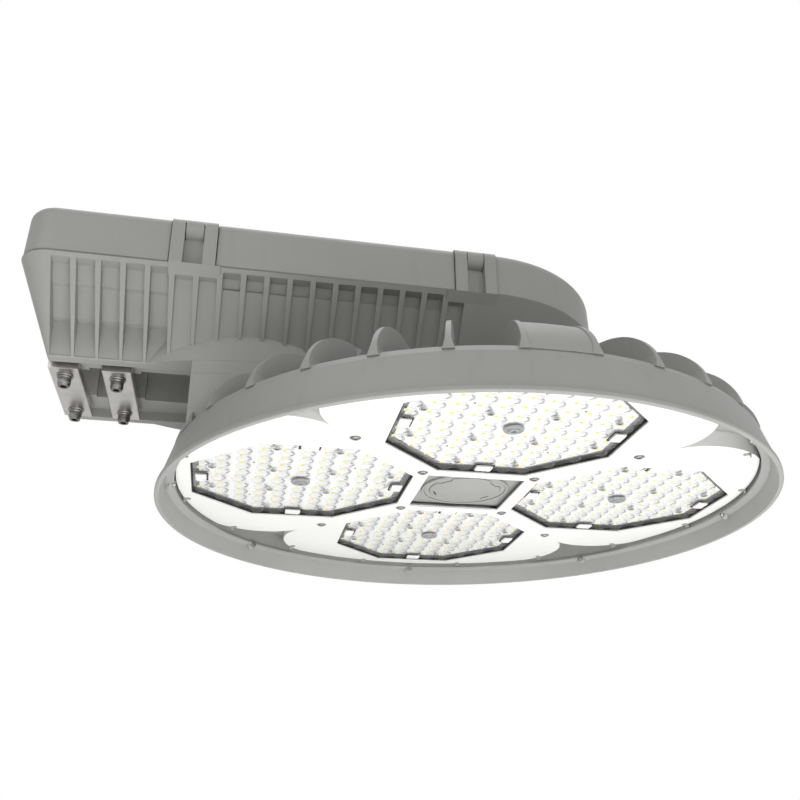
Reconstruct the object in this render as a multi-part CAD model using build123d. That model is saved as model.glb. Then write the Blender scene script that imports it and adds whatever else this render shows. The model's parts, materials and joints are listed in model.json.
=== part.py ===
from build123d import *
from math import atan2, degrees, sqrt
import os

# The frame: the origin lies on the pipe's axis midway between the two clamp bars.
# +X runs along the pipe towards the lamp head, +Z is up, and all sizes are in millimetres.

# Pipe and clamp
pipe_diameter = 60.3
grip_gap = 0.3
bar_pitch = 49.5
bar_width = 28.0
bar_length = 118.0
bar_thickness = 10.0
bar_chamfer = 0.8
bar_hole_gap = 0.5
bolt_pitch = 84.0
bolt_diameter = 8.0
bolt_length = 48.0
bolt_head_diameter = 12.4
bolt_head_height = 8.0
bolt_socket_width = 6.0
bolt_socket_depth = 4.5
flat_washer_diameter = 16.0
flat_washer_thickness = 1.6
spring_washer_diameter = 13.6
spring_washer_thickness = 2.2
spring_washer_slit = 1.5
washer_hole_gap = 0.25
saddle_rib_width = 34.0
saddle_rib_offset = 3.0
running_gap = 0.05

# Driver housing, a casting that narrows downwards like a boat
head_distance = 389.0
flange_height = 35.0
base_depth = 37.0
flange_half_width = 149.5
base_half_width = 76.0
flange_end = 63.0
base_end = 37.0
flange_corner = 28.0
base_corner = 3.0
casting_wall = 7.0
rim_thickness = 3.5
rim_land = 21.0
floor_thickness = 4.5
inner_corner = 12.0
recess_end = 97.0
recess_half_width = 66.0
recess_depth = 10.5
recess_wall = 10.0
channel_relief = 5.0
channel_roof = 3.5
saddle_side_wall = 6.0
wire_slot_length = 25.0
wire_slot_width = 20.0
wire_slot_depth = 24.0
supply_hole_diameter = 26.0
side_pocket_floor = 4.0
side_pocket_wall = 6.0
side_pocket_foot = 8.0
bulge_half_width = 99.5
bulge_end_half_width = 74.0
bulge_half_length = 105.0
bulge_centre = 154.0
bulge_height = 32.0
post_diameter = 10.0
post_height = 10.0

# Cooling fins along both flanks of the driver housing
fin_count = 19
fin_pitch = 22.0
fin_top_thickness = 5.6
fin_foot_thickness = 2.6
first_fin = 36.3
deep_bay_count = 5
bay_upper_depth = 12.0
bay_middle_depth = 20.0
bay_upper_level = 17.5
bay_middle_level = -3.5
bay_step = 3.5
shallow_bay_depth = 8.0
shallow_band_depth = 11.5
shallow_band_height = 12.0
bay_foot_lip = 1.5

# Lid and its two hinges
lid_gap = 1.0
lid_height = 52.5
lid_wall = 3.5
lid_inset = 0.6
lid_draft = 1.5
lid_round = 11.0
lid_inner_chamfer = 6.0
lid_edge_chamfer = 1.2
lid_rim_width = 18.0
lid_rim_height = 5.0
dome_start = -43.0
dome_length = 110.0
dome_half_width = 132.0
dome_height = 7.5
dome_slope = 9.0
dome_corner = 14.0
dome_top_corner = 8.0
hinge_positions = (91.2, 368.0)
hinge_axis_inset = 8.5
hinge_height = 76.5
knuckle_radius = 10.5
knuckle_width = 16.6
prong_width = 12.2
prong_gap = 0.8
prong_thickness = 9.0
pocket_margin = 5.0
bracket_drop = 8.0
hinge_pin_diameter = 6.0
gasket_inset = 12.5
gasket_width = 5.0
gasket_depth = 2.5
gasket_proud = 0.2

# Captive screws on the far side of the lid
lug_radius = 9.0
lug_reach = 8.5
lug_height = 13.0
ear_height = 14.0
captive_diameter = 6.0
captive_core_diameter = 4.8
captive_engagement = 7.0
captive_hole_gap = 0.3
lug_wedge_count = 6
lug_web_drop = 8.0
lug_web_rise = 2.0
lug_web_root = 6.0
lug_top_relief = 1.2
captive_head_diameter = 17.0
captive_head_height = 13.0
captive_grip_count = 8
captive_slot_width = 2.0
captive_slot_depth = 2.5

# Lamp head, a shallow round casting with radial blades on its back
head_drop = 150.5
rim_radius = 320.0
rim_edge_chamfer = 0.8
rim_lip_height = 4.0
rim_lip_step = 1.6
skirt_rake = 12.5
skirt_height = 40.0
skirt_wall = 4.5
shoulder_width = 4.0
bead_depth = 5.0
bead_height = 20.0
bead_width = 2.0
deck_underside = 41.6
deck_thickness = 4.5
blade_count = 32
blade_rise = 59.0
blade_run = 83.0
blade_overhang = 0.5
blade_foot_height = 38.0
blade_tip_thickness = 3.6
blade_root_thickness = 5.0
blade_flare = 10.0
flare_height = 12.0
short_blade_radius = 226.0
short_blade_from = 38.0
short_blade_to = 45.0
short_blade_boss = 4.5
hood_wall = 4.0
hood_step = 0.8
neck_end = 292.0
neck_hood_angle = 19.0
pedestal_wall = 7.0
joint_slab = 14.0
wire_well_radius = 24.0
well_rim_width = 6.0
well_wedge_count = 8
neck_hollow_floor = 2.0

# Optics
module_distance = 176.2
module_across = 217.0
module_pad_across = 224.0
module_pad_height = 34.0
thermal_pad_thickness = 0.5
board_across = 206.0
board_thickness = 1.6
lens_height = 29.1
lens_thickness = 1.6
lens_rim_width = 4.0
seal_width = 1.8
seal_top_gap = 0.6
tray_height = 25.6
tray_thickness = 2.0
tray_rim_gap = 0.9
tray_window_gap = 2.0
lobe_half_width = 178.5
lobe_shoulder = 203.0
notch_corner = 163.0
lobe_end_half_width = 154.0
centre_window = 102.4
centre_pad_height = 32.0
centre_pad_width = 108.0
cap_radius = 47.0
cap_thickness = 3.0
cap_skirt = 7.0
cap_plug_radius = 41.7
cap_plug_wall = 3.0
inner_screw_pitch = 117.8
outer_screw_pitch = 277.8
tray_screw_diameter = 5.0
tray_screw_head = 9.0
tray_screw_head_height = 2.6
tray_screw_length = 12.0
tray_post_diameter = 11.0

# Fixings between the driver housing and the lamp head
joint_screw_diameter = 8.0
joint_screw_thread = 6.8
joint_screw_length = 16.0
joint_screw_head = 13.0
joint_screw_inset = 12.0

# Electrical parts inside the driver housing
gear_plate_length = 240.0
gear_plate_width = 142.0
gear_plate_thickness = 2.0
gear_plate_start = 118.0
driver_length = 224.0
driver_width = 64.0
driver_height = 38.0
driver_space = 6.0
driver_foot = 4.0
terminal_length = 46.0
terminal_width = 84.0
terminal_height = 26.0
terminal_start = 50.0
terminal_poles = 5
terminal_entry = 6.5
terminal_well = 9.0
surge_length = 56.0
surge_width = 38.0
surge_height = 30.0
surge_start = -22.0

# Worked out from the sizes above
head_place = Location((head_distance, 0, -head_drop))
base_level = -base_depth
floor_level = base_level + floor_thickness
joint_level = head_drop - base_depth
deck_top = deck_underside + deck_thickness
neck_floor = deck_top + neck_hollow_floor
neck_roof = joint_level - joint_slab
rim_top_radius = rim_radius - skirt_rake
deck_radius = rim_top_radius - shoulder_width
bead_radius = rim_top_radius - bead_depth
blade_foot_radius = rim_top_radius + blade_overhang
tray_radius = bead_radius - tray_rim_gap
saddle_radius = pipe_diameter / 2 + grip_gap
bar_top = -saddle_radius
bar_underside = bar_top - bar_thickness
under_bolt_head = bar_underside - flat_washer_thickness - spring_washer_thickness
recess_ceiling = base_level + recess_depth
hinge_axis_y = -(flange_half_width - hinge_axis_inset)
prong_front = hinge_axis_y - knuckle_radius
lid_bottom = flange_height + lid_gap
lid_top = flange_height + lid_height
pin_bore_radius = hinge_pin_diameter / 2 + running_gap
gear_plate_level = floor_level + post_height + gear_plate_thickness
outside = flange_half_width + 40
bar_places = (-bar_pitch / 2, bar_pitch / 2)
bolt_places = (-bolt_pitch / 2, bolt_pitch / 2)


def flank(z):
    # Half width of the driver housing's outline at height z
    slope = (flange_half_width - base_half_width) / (flange_height + base_depth)
    return base_half_width + (z - base_level) * slope


def boat_outline(left, half, corner, z):
    # Flat left end with round corners, half-round right end about the lamp head's axis
    k = corner * (1 - sqrt(0.5))
    edges = [
        ThreePointArc((left, corner - half), (left + k, k - half), (left + corner, -half)),
        Line((left + corner, -half), (head_distance, -half)),
        ThreePointArc((head_distance, -half), (head_distance + half, 0), (head_distance, half)),
        Line((head_distance, half), (left + corner, half)),
        ThreePointArc((left + corner, half), (left + k, half - k), (left, half - corner)),
        Line((left, half - corner), (left, corner - half)),
    ]
    return Location((0, 0, z)) * make_face(Wire(edges))


def block(x0, x1, y0, y1, z0, z1):
    # Box between two corners
    size = (x1 - x0, y1 - y0, z1 - z0)
    return Location(((x0 + x1) / 2, (y0 + y1) / 2, (z0 + z1) / 2)) * Box(*size)


def rod(radius, length, place=Location()):
    # Cylinder that stands on the place's origin
    return place * Location((0, 0, length / 2)) * Cylinder(radius, length)


def x_rod(radius, x0, x1, y, z):
    return Location(((x0 + x1) / 2, y, z), (0, 90, 0)) * Cylinder(radius, x1 - x0)


def x_profile(points, x0, x1):
    # Polygon of (y, z) points drawn out along X
    face = make_face(Polyline(*[(x0, y, z) for y, z in points], close=True))
    return extrude(face, x1 - x0, dir=(1, 0, 0))


def turned(angle):
    return Rot(0, 0, angle)


def save(node, *shapes):
    solids = [s for shape in shapes for s in shape.solids()]
    export_step(Compound(children=solids) if len(solids) > 1 else solids[0], f"parts/{node}.step")


# Driver housing
def fin_place(k):
    return fin_pitch * k - first_fin


def bays_near(x):
    return [k for k in range(fin_count - 1) if abs(fin_place(k) + fin_pitch / 2 - x) < fin_pitch]


bracket_bays = [k for x in hinge_positions for k in bays_near(x)]


def bay(k, bracket):
    # The hollow between fins k and k + 1 on the side of positive Y
    low = base_level - 1
    top = flange_height - (bracket_drop if bracket else rim_thickness)
    foot = fin_foot_thickness / 2
    head = fin_top_thickness / 2
    x0 = fin_place(k)
    x1 = fin_place(k + 1)
    window = make_face(Polyline((x0 + foot, 0, low), (x1 - foot, 0, low),
                                (x1 - head, 0, top), (x0 + head, 0, top), close=True))
    window = extrude(window, outside, dir=(0, 1, 0))
    upper = bay_upper_level
    middle = bay_middle_level
    band = flange_height - shallow_band_height
    if bracket:
        wall = [(flank(top) - shallow_bay_depth, top)]
    elif k < deep_bay_count:
        wall = [(flank(top) - bay_upper_depth, top),
                (flank(upper) - bay_upper_depth + 1, upper + 1),
                (flank(upper) - bay_upper_depth - bay_step, upper),
                (flank(middle) - bay_middle_depth + 1, middle + 1),
                (flank(middle) - bay_middle_depth - bay_step, middle)]
    else:
        wall = [(flank(top) - shallow_band_depth, top),
                (flank(band) - shallow_band_depth, band),
                (flank(band) - shallow_bay_depth, band - 0.5)]
    foot_level = base_level + bay_foot_lip
    wall += [(base_half_width + 1, foot_level), (outside, foot_level), (outside, top)]
    return window & x_profile(wall, x0, x1)


def bulge(z0, z1):
    # Swelling over the neck, bounded by two wide arcs
    rise = bulge_half_width - bulge_end_half_width
    radius = (bulge_half_length ** 2 + rise ** 2) / (2 * rise)
    shift = radius - bulge_half_width
    near = rod(radius, z1 - z0, Location((bulge_centre, shift, z0)))
    far = rod(radius, z1 - z0, Location((bulge_centre, -shift, z0)))
    x0 = bulge_centre - bulge_half_length
    x1 = bulge_centre + bulge_half_length
    return near & far & block(x0, x1, -radius, radius, z0, z1)


def hinge_bracket(x):
    # Sloped gusset under the flange, two prongs above it and the bore through them
    half = knuckle_width / 2 + prong_gap + prong_width
    low = flange_height - bracket_drop
    inner = casting_wall - flank(low)
    bays = bays_near(x)
    x0 = min(x - half, fin_place(bays[0]))
    x1 = max(x + half, fin_place(bays[-1] + 1))
    bracket = x_profile([(-flank(low), low), (prong_front, flange_height),
                         (inner, flange_height), (inner, low)], x0, x1)
    for a, b in ((x - half, x - half + prong_width), (x + half - prong_width, x + half)):
        bracket += block(a, b, prong_front, prong_front + prong_thickness, flange_height, hinge_height)
        bracket += x_rod(knuckle_radius, a, b, hinge_axis_y, hinge_height)
    return bracket - x_rod(pin_bore_radius, x0 - 1, x1 + 1, hinge_axis_y, hinge_height)


# The captive screws lie along the lid's swing, so that they leave their holes without rubbing
screw_y = flange_half_width + lug_reach
screw_height = flange_height + lid_gap / 2
screw_tilt = degrees(atan2(hinge_height - screw_height, screw_y - hinge_axis_y))


def screw_place(x, lift=0.0):
    return Location((x, screw_y, screw_height), (-screw_tilt, 0, 0)) * Location((0, 0, lift))


def housing_lug(x):
    # Boss on the far flange that a captive screw bites into
    top = -lid_gap / 2
    lug = rod(lug_radius, lug_height, screw_place(x, top - lug_height))
    low = flange_height - lug_height
    root = flank(low) - lug_web_root
    web = x_profile([(root, low - lug_web_drop), (screw_y, low + lug_web_rise), (screw_y, flange_height),
                     (root, flange_height)], x - lug_radius, x + lug_radius)
    side = 2 * lug_radius
    boss = lug + web
    boss -= block(x - side, x + side, 0, flange_half_width + lug_top_relief, flange_height, outside)
    return boss - rod(captive_diameter / 2 + captive_hole_gap, 2 * lug_height, screw_place(x, -2 * lug_height))


def wedges(body, place, count, reach):
    # A body divided into wedges about the hole through it
    angle = 360 / count
    far = Vector(reach, 0, 0)
    wedge = make_face(Polyline((0, 0, 0), far, far.rotate(Axis.Z, angle), close=True))
    wedge = extrude(wedge, reach, both=True)
    return [body & place * turned(angle * k) * wedge for k in range(count)]


def joint_screw_places():
    # Two rows of screws around the neck, and one beyond the wire well
    rows = (recess_end + recess_wall + 14, bulge_centre + bulge_half_length - 8,
            head_distance - wire_well_radius - 12)
    reach = base_half_width - casting_wall - joint_screw_inset
    return [(x, y) for x in rows for y in (-reach, reach)] + [(head_distance + reach, 0)]


def gear_posts():
    x0 = gear_plate_start + post_diameter / 2 + 2
    x1 = gear_plate_start + gear_plate_length - post_diameter / 2 - 2
    reach = gear_plate_width / 2 - post_diameter / 2 - 2
    return [(x, y) for x in (x0 + 20, x1 - 30) for y in (-reach, reach)]


def driver_housing():
    shell = boat_shape(-base_end, base_half_width, base_corner, base_level,
                       -flange_end, flange_half_width, flange_corner, flange_height)
    for k in range(fin_count - 1):
        hollow = bay(k, k in bracket_bays)
        shell -= hollow
        shell -= mirror(hollow, about=Plane.XZ)
    shell += bulge(base_level, base_level + bulge_height)
    shell = hollow_out(shell)
    shell = cut_tunnel(shell)
    for x, y in gear_posts():
        shell += rod(post_diameter / 2, post_height + 1, Location((x, y, floor_level - 1)))
    for x in hinge_positions:
        shell += hinge_bracket(x)
        shell += housing_lug(x)
    return shell - gasket_ring(flange_height + 1)


def save_housing():
    # One casting, kept as solids that meet face to face: the shell, the saddle block, two screw lugs
    # and the part of the floor around the wire well
    whole = driver_housing()
    side = recess_half_width + saddle_side_wall
    saddle = block(-outside, recess_end, -side, side, -outside, outside)
    lugs = [block(x - 2 * lug_radius, x + 2 * lug_radius, flange_half_width, 2 * outside, 0, outside)
            for x in hinge_positions]
    edge = wire_well_radius + well_rim_width
    well = block(head_distance - edge, head_distance + edge, -edge, edge, base_level, floor_level)
    save("driver_housing", whole - [saddle, well, *lugs])
    save("saddle_block", whole & saddle)
    save("well_rim", *wedges(whole & well, Location((head_distance, 0, 0)), well_wedge_count, 2 * edge))
    for number, (lug, x) in enumerate(zip(lugs, hinge_positions), start=1):
        save(f"screw_lug_{number}", *wedges(whole & lug, screw_place(x), lug_wedge_count, 4 * lug_radius))


def boat_shape(*sizes):
    return loft([boat_outline(*sizes[:4]), boat_outline(*sizes[4:])], ruled=True)


def hollow_out(shell):
    # Compartment for the drivers, side pockets beside the pipe, wire well and screw holes
    rim = flange_half_width - rim_land
    left = recess_end + recess_wall
    foot = flank(floor_level) - casting_wall
    shell -= boat_shape(left, foot, inner_corner, floor_level, left, rim, inner_corner, flange_height + 1)
    inner = recess_half_width + saddle_side_wall
    corner = flank(bay_upper_level) - bay_upper_depth - bay_step - side_pocket_wall
    pocket = x_profile([(inner, flange_height + 1), (rim, flange_height + 1), (corner, bay_upper_level),
                        (inner + side_pocket_foot, side_pocket_floor), (inner, side_pocket_floor)],
                       -first_fin, left + inner_corner)
    shell -= pocket
    shell -= mirror(pocket, about=Plane.XZ)
    shell -= rod(wire_well_radius, floor_thickness + 2, Location((head_distance, 0, base_level - 1)))
    for x, y in joint_screw_places():
        shell -= rod(joint_screw_diameter / 2 + running_gap, floor_thickness + 2,
                     Location((x, y, base_level - 1)))
    return shell


def cut_tunnel(shell):
    # The pipe's tunnel in the underside, with two ribs that carry the pipe
    open_end = -flange_end - 10
    half = recess_half_width
    relieved = saddle_radius + channel_relief
    shell -= block(open_end, recess_end, -half, half, base_level - 1, recess_ceiling)
    channel = x_rod(saddle_radius, open_end, recess_end, 0, 0)
    channel += block(open_end, recess_end, -saddle_radius, saddle_radius, recess_ceiling - 1, 0)
    shell -= channel
    edges = [-flange_end - 10]
    for x in bar_places:
        edges += [x + saddle_rib_offset - saddle_rib_width / 2, x + saddle_rib_offset + saddle_rib_width / 2]
    edges.append(recess_end)
    roof = flange_height - channel_roof
    for x0, x1 in zip(edges[::2], edges[1::2]):
        relief = x_rod(relieved, x0, x1, 0, 0) & block(x0, x1, -relieved, relieved, 0, roof)
        shell -= relief + block(x0, x1, -relieved, relieved, recess_ceiling - 1, 0)
    shell -= block(recess_end - wire_slot_length, recess_end, -half, wire_slot_width - half,
                   recess_ceiling - 1, recess_ceiling + wire_slot_depth)
    for x in bar_places:
        for y in bolt_places:
            depth = under_bolt_head + bolt_length + 2 - recess_ceiling
            shell -= rod(bolt_diameter / 2 + running_gap, depth + 1, Location((x, y, recess_ceiling - 1)))
    return shell - x_rod(supply_hole_diameter / 2, recess_end - 1, recess_end + recess_wall + 1, 0, 0)


def gasket_ring(top):
    # The ring that the lid closes on, sunk into the flange
    middle = flange_half_width - gasket_inset
    rings = []
    for half in (middle + gasket_width / 2, middle - gasket_width / 2):
        inset = flange_half_width - half
        low = flange_height - gasket_depth
        face = boat_outline(inset - flange_end, half, flange_corner - inset, low)
        rings.append(extrude(face, top - low))
    return rings[0] - rings[1]


# Lid
def lid_solid(inset, bottom, top):
    half = flange_half_width - lid_inset - inset
    face = boat_outline(lid_inset + inset - flange_end, half, flange_corner - inset, bottom)
    return extrude(face, top - bottom, taper=lid_draft)


def top_edges(body):
    return body.faces().sort_by(Axis.Z)[-1].outer_wire().edges()


def lid_dome(inset, z0, z1):
    # Raised field over the pipe end
    middle = dome_start + dome_length / 2
    length = dome_length - 2 * inset
    width = 2 * (dome_half_width - inset)
    low = Location((middle, 0, z0)) * RectangleRounded(length, width, dome_corner)
    high = RectangleRounded(length - 2 * dome_slope, width - 2 * dome_slope, dome_top_corner)
    high = Location((middle, 0, z1)) * high
    return loft([low, high], ruled=True)


def lid():
    outer = lid_solid(0, lid_bottom, lid_top)
    outer = fillet(top_edges(outer), lid_round)
    outer = chamfer(outer.faces().sort_by(Axis.Z)[0].outer_wire().edges(), lid_edge_chamfer)
    inside = lid_solid(lid_wall, lid_bottom - 1, lid_top - lid_wall)
    shell = outer - chamfer(top_edges(inside), lid_inner_chamfer)
    rim = lid_solid(lid_wall - 1, lid_bottom, lid_top - lid_round)
    half = flange_half_width - lid_rim_width
    hole = boat_outline(lid_rim_width - flange_end, half, inner_corner, lid_bottom - 1)
    rim &= block(-outside, head_distance + outside, -outside, outside, lid_bottom, lid_bottom + lid_rim_height)
    shell += rim - extrude(hole, lid_rim_height + 2)
    back = prong_front + prong_thickness + prong_gap
    for x in hinge_positions:
        half = knuckle_width / 2 + prong_gap + prong_width + pocket_margin
        pocket = block(x - half, x + half, -outside, back + lid_wall, lid_bottom, lid_top)
        pocket += block(x - half, x + half, -outside, hinge_axis_y + knuckle_radius + pocket_margin,
                        hinge_height - knuckle_radius - pocket_margin, lid_top)
        shell += pocket & outer
    shell += lid_dome(0, lid_top - 1, lid_top + dome_height)
    shell -= lid_dome(lid_wall, lid_top - lid_wall - 1, lid_top + dome_height - lid_wall)
    for x in hinge_positions:
        shell = cut_hinge(shell, x, back)
        shell += lid_ear(x)
        shell -= rod(captive_diameter / 2 + captive_hole_gap, ear_height + 2, screw_place(x, lid_gap / 2 - 1))
    return shell


def cut_hinge(shell, x, back):
    # Room for the prongs, and the knuckle that turns between them
    knuckle = knuckle_width / 2
    half = knuckle + prong_width + 2 * prong_gap
    shell -= block(x - half, x + half, -outside, back, lid_bottom - 1, hinge_height)
    for x0, x1 in ((x - half, x - knuckle), (x + knuckle, x + half)):
        shell -= x_rod(knuckle_radius + prong_gap, x0, x1, hinge_axis_y, hinge_height)
        shell -= block(x0, x1, -outside, hinge_axis_y, hinge_height - 1, lid_top + 1)
    shell += x_rod(knuckle_radius, x - knuckle, x + knuckle, hinge_axis_y, hinge_height)
    return shell - x_rod(pin_bore_radius, x - half - 1, x + half + 1, hinge_axis_y, hinge_height)


def lid_ear(x):
    inside = flange_half_width - lid_inset - lid_wall
    ear = rod(lug_radius, ear_height, screw_place(x, lid_gap / 2))
    web = screw_place(x) * block(-lug_radius, lug_radius, inside - screw_y, 0, lid_gap / 2, ear_height)
    return ear + (web & block(x - 20, x + 20, inside + 1, screw_y + 20, 0, lid_top))


# Fasteners and small hardware
def hinge_pin(x):
    half = knuckle_width / 2 + prong_gap + prong_width
    return chamfer(x_rod(hinge_pin_diameter / 2, x - half, x + half, hinge_axis_y, hinge_height).edges(), 0.6)


def captive_screw(x):
    # Fluted thumb screw with a slot
    bottom = lid_gap / 2 + ear_height
    foot = -lid_gap / 2 - captive_engagement
    shank = rod(captive_core_diameter / 2, bottom - foot, Location((0, 0, foot)))
    shank += rod(captive_diameter / 2, ear_height, Location((0, 0, lid_gap / 2)))
    head = rod(captive_head_diameter / 2, captive_head_height, Location((0, 0, bottom)))
    flute = rod(2.2, captive_head_height, Location((captive_head_diameter / 2 + 1.2, 0, bottom + 2)))
    for k in range(captive_grip_count):
        head -= turned(360 / captive_grip_count * k) * flute
    top = bottom + captive_head_height
    half = captive_slot_width / 2
    slot = block(-captive_head_diameter, captive_head_diameter, -half, half, top - captive_slot_depth, top + 1)
    return screw_place(x) * (shank + head - slot)


def clamp_bar(x):
    half = bar_length / 2
    bar = block(x - bar_width / 2, x + bar_width / 2, -half, half, bar_underside, bar_top)
    bar = chamfer(bar.edges().filter_by(Axis.Y), bar_chamfer)
    for y in bolt_places:
        bar -= rod(bolt_diameter / 2 + bar_hole_gap, bar_thickness + 2, Location((x, y, bar_underside - 1)))
    return bar


def clamp_washers(x):
    # A flat washer and a split spring washer under each bolt head
    bore = bolt_diameter / 2 + washer_hole_gap
    slit = spring_washer_slit / 2
    rings = []
    for y in bolt_places:
        spring_level = Location((x, y, under_bolt_head))
        flat_level = Location((x, y, under_bolt_head + spring_washer_thickness))
        rings.append(flat_level * (rod(flat_washer_diameter / 2, flat_washer_thickness)
                                   - rod(bore, flat_washer_thickness)))
        coil = rod(spring_washer_diameter / 2, spring_washer_thickness) - rod(bore, spring_washer_thickness)
        coil -= turned(205) * block(0, spring_washer_diameter, -slit, slit, 0, spring_washer_thickness)
        rings.append(spring_level * coil)
    return rings


def cap_screw(place, length, diameter, head_diameter):
    # Socket head below the place, shank above it
    shank = rod(diameter / 2, length, place)
    head = rod(head_diameter / 2, bolt_head_height, place * Location((0, 0, -bolt_head_height)))
    socket = extrude(RegularPolygon(bolt_socket_width / 2, 6, major_radius=False), bolt_socket_depth)
    return shank + head - place * Location((0, 0, -bolt_head_height)) * socket


def clamp_bolts(x):
    return [cap_screw(Location((x, y, under_bolt_head)), bolt_length, bolt_diameter, bolt_head_diameter)
            for y in bolt_places]


# Lamp head, drawn about its own axis with the rim plane at zero
def blade_outline(inner, foot):
    # Quarter ellipse outside and level top inside, in the XZ plane
    start = blade_foot_radius - blade_run
    top = blade_foot_height + blade_rise
    edges = [EllipticalCenterArc((start, blade_foot_height), blade_run, blade_rise, start_angle=0, arc_size=90),
             Line((start, top), (inner, top)),
             Line((inner, top), (inner, foot)),
             Line((inner, foot), (blade_foot_radius, foot)),
             Line((blade_foot_radius, foot), (blade_foot_radius, blade_foot_height))]
    return Plane.XZ * make_face(Wire(edges))


def blade(inner):
    # Thicker towards its root and flared where it leaves the rim
    half = blade_flare / 2
    root = blade_root_thickness / 2
    tip = blade_tip_thickness / 2
    foot = deck_underside + 1
    right = [(half, foot), (root + 1, foot + flare_height / 2), (root, foot + flare_height),
             (tip, blade_foot_height + blade_rise + 1)]
    points = right + [(-y, z) for y, z in reversed(right)]
    section = x_profile(points, inner, blade_foot_radius + 5)
    return extrude(blade_outline(0, blade_foot_height - 1), blade_flare, both=True) & section


def short_blade():
    top = blade_foot_height + blade_rise - 1.5
    boss = rod(short_blade_boss, top - deck_top + 2, Location((short_blade_radius, 0, deck_top - 2)))
    return blade(short_blade_radius) + boss


def rim():
    # Skirt with a lip at its foot, a bead inside and a shoulder that meets the deck
    lip_top = rim_lip_height + rim_lip_step / 2
    slope = (skirt_rake - rim_lip_step) / (skirt_height - lip_top)
    inner = rim_radius - skirt_wall
    bead_foot = bead_height - 1.5 * bead_width
    profile = [(inner, 0), (rim_radius - rim_edge_chamfer, 0), (rim_radius, rim_edge_chamfer),
               (rim_radius, rim_lip_height), (rim_radius - rim_lip_step, lip_top),
               (rim_top_radius, skirt_height), (deck_radius, deck_top), (deck_radius, deck_underside),
               (bead_radius + bead_width, deck_underside),
               (bead_radius + bead_width, bead_height + 1.5 * bead_width),
               (bead_radius, bead_height + bead_width / 2), (bead_radius, bead_height - bead_width / 2),
               (rim_top_radius + (skirt_height - bead_foot) * slope - skirt_wall, bead_foot)]
    return revolve(make_face(Polyline(*[(x, 0, z) for x, z in profile], close=True)), Axis.Z)


def deck():
    return rod(deck_radius, deck_thickness, Location((0, 0, deck_underside)))


# The rim, the deck, the neck and the blades are one casting, kept as solids that meet face to face
def blade_places():
    # Angle of each blade and whether it is one of the short ones
    pitch = 360 / blade_count
    places = []
    for k in range(blade_count):
        angle = pitch * (k + 0.5)
        from_side = abs(angle % 180 - 90)
        if abs(angle - 180) > neck_hood_angle + pitch / 2:
            places.append((angle, short_blade_from < from_side < short_blade_to, from_side < pitch))
    return places


def save_head():
    # The deck with the two hoods and the blades that close their sides, the neck's walls and its top
    pitch = 360 / blade_count
    long_one = blade(base_half_width - 3)
    sides = [turned(angle) * long_one for angle, _, beside_hood in blade_places() if beside_hood]
    head = deck() + [pedestal(), hood(-90, pitch / 2), hood(90, pitch / 2), neck_hood()] + sides
    head = add_seats(head - neck_hollow() - rim())
    neck = pedestal() & block(-outside - neck_end, outside, -outside, outside, neck_floor, joint_level)
    top = neck & block(-outside - neck_end, outside, -outside, outside, neck_roof, joint_level)
    save("head_casting", head_place * (head - neck))
    save("neck_walls", head_place * (head & neck - top))
    save("neck_top", head_place * (head & top))


def cooling_blades():
    long_one = blade(base_half_width - 3)
    short_one = short_blade()
    around = [deck(), pedestal(), rim()]
    blades = []
    for angle, is_short, beside_hood in blade_places():
        if not beside_hood:
            blades.append(head_place * (turned(angle) * (short_one if is_short else long_one) - around))
    return blades


def add_seats(head):
    # Machined seats for the lens modules and the centre cap, and posts for the tray's screws
    for k in range(4):
        seat = extrude(octagon(module_pad_across), deck_underside + 1 - module_pad_height)
        head += turned(90 * k) * Location((module_distance, 0, module_pad_height)) * seat
    half = centre_pad_width / 2
    head += block(-half, half, -half, half, centre_pad_height, deck_underside + 1)
    head -= rod(cap_plug_radius + 0.3, deck_top - centre_pad_height, Location((0, 0, centre_pad_height)))
    tray_top = tray_height + tray_thickness
    for x, y in tray_screw_places():
        head += rod(tray_post_diameter / 2, deck_underside + 1 - tray_top, Location((x, y, tray_top)))
        head -= rod(tray_screw_diameter / 2 + running_gap, tray_screw_length, Location((x, y, tray_top)))
    return head


def octagon(across):
    return RegularPolygon(across / 2, 8, major_radius=False, rotation=22.5)


def pedestal():
    half = base_half_width
    low = deck_top - 2
    straight = block(-neck_end, 0, -half, half, low, joint_level)
    neck = Location((-head_distance, 0, 0)) * bulge(low, joint_level)
    neck &= block(-neck_end, 0, -outside, outside, 0, joint_level)
    return straight + rod(half, joint_level - low, Location((0, 0, low))) + neck


def neck_hollow():
    # Lightening hollow under the joint, the wire shaft and the tapped holes
    half = base_half_width - pedestal_wall
    tool = block(pedestal_wall - neck_end, 0, -half, half, neck_floor, neck_roof)
    tool += rod(half, neck_roof - neck_floor, Location((0, 0, neck_floor)))
    tool += rod(wire_well_radius, joint_level + 1 - deck_underside, Location((0, 0, deck_underside)))
    depth = joint_screw_length - floor_thickness + 1
    for x, y in joint_screw_places():
        place = Location((x - head_distance, y, joint_level - depth))
        tool += rod(joint_screw_thread / 2 + running_gap, depth + 1, place)
    return tool


def hood(angle, half_angle):
    # The skirt swept up between two blades to close a bay at its front
    start = blade_foot_radius - blade_run - 1
    outer = Location((-hood_step, 0, -hood_step)) * blade_outline(start, blade_foot_height - 2)
    inner = Location((-hood_wall, 0, -hood_wall)) * blade_outline(start - 2 * hood_wall, 0)
    sweep = revolve(outer - inner, Axis.Z, revolution_arc=2 * half_angle)
    return turned(angle - half_angle) * (sweep - rod(rim_radius, deck_underside + 1))


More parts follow.
